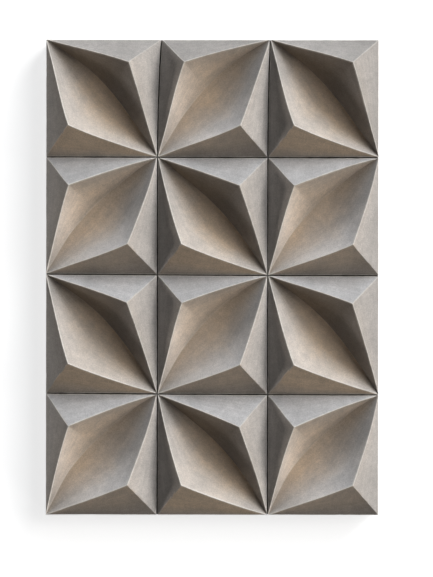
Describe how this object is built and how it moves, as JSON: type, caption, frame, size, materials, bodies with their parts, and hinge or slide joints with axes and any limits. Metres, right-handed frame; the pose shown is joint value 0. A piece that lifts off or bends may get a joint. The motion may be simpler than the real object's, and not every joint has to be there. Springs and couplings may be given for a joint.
{
  "type": "decorative facade panel",
  "caption": "Rectangular cast concrete facade panel with a plain flat back and a deep relief of low pyramids, each cut from corner to corner by a leaf-shaped scoop.",
  "frame": {"origin": "centre of the flat back face, on which the panel lies", "axes": "+X along the panel's width, to the right as seen from the front; +Y up the panel's height; +Z out of the relief"},
  "size_m": [0.7, 1, 0.091],
  "materials": {
    "concrete": "matte"
  },
  "bodies": {
    "root": {"facade_panel": "concrete"}
  },
  "joints": []
}
